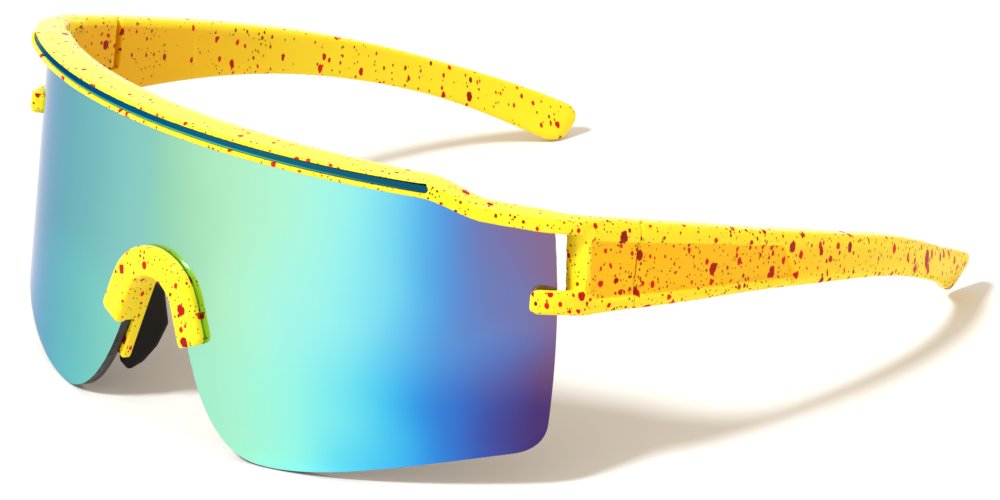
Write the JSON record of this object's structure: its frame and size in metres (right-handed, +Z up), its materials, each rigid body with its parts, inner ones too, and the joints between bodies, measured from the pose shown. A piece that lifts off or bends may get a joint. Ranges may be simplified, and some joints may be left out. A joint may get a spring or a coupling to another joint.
{
  "type": "shield sunglasses",
  "caption": "Wrap-round shield sunglasses: a single mirrored lens under a slotted brow bar, a clip-on nose bridge with soft pads, and two curved temples that fold on screwed hinges.",
  "frame": {"origin": "middle of the bounding box, on the table top that the lens's two lobes and the two temple tips rest on", "axes": "+X to the wearer's left, +Y from the lens back towards the temple tips, +Z up; the lens faces -Y"},
  "size_m": [0.151, 0.1478, 0.0582],
  "materials": {
    "frame": "glossy injection-moulded nylon, yellow with red and dark splatter",
    "lens": "mirror-coated polycarbonate, green to blue to violet",
    "pads": "soft-touch matt rubber",
    "screws": "plain turned steel"
  },
  "bodies": {
    "front": {"front_frame": "frame", "shield_lens": "lens", "nose_bridge": "frame", "nose_pad_left": "pads", "nose_pad_right": "pads", "hinge_screw_left": "screws", "hinge_screw_right": "screws"},
    "left_arm": {"temple_left": "frame"},
    "right_arm": {"temple_right": "frame"}
  },
  "joints": [
    {"name": "left_temple_fold", "type": "hinge", "parent": "front", "child": "left_arm", "pos_m": [0.07162, -0.02515, 0.03418], "axis": [0, 0.1604, 0.987], "range_deg": [0, 94]},
    {"name": "right_temple_fold", "type": "hinge", "parent": "front", "child": "right_arm", "pos_m": [-0.07162, -0.02515, 0.03418], "axis": [0, -0.1604, -0.987], "range_deg": [0, 82]}
  ]
}
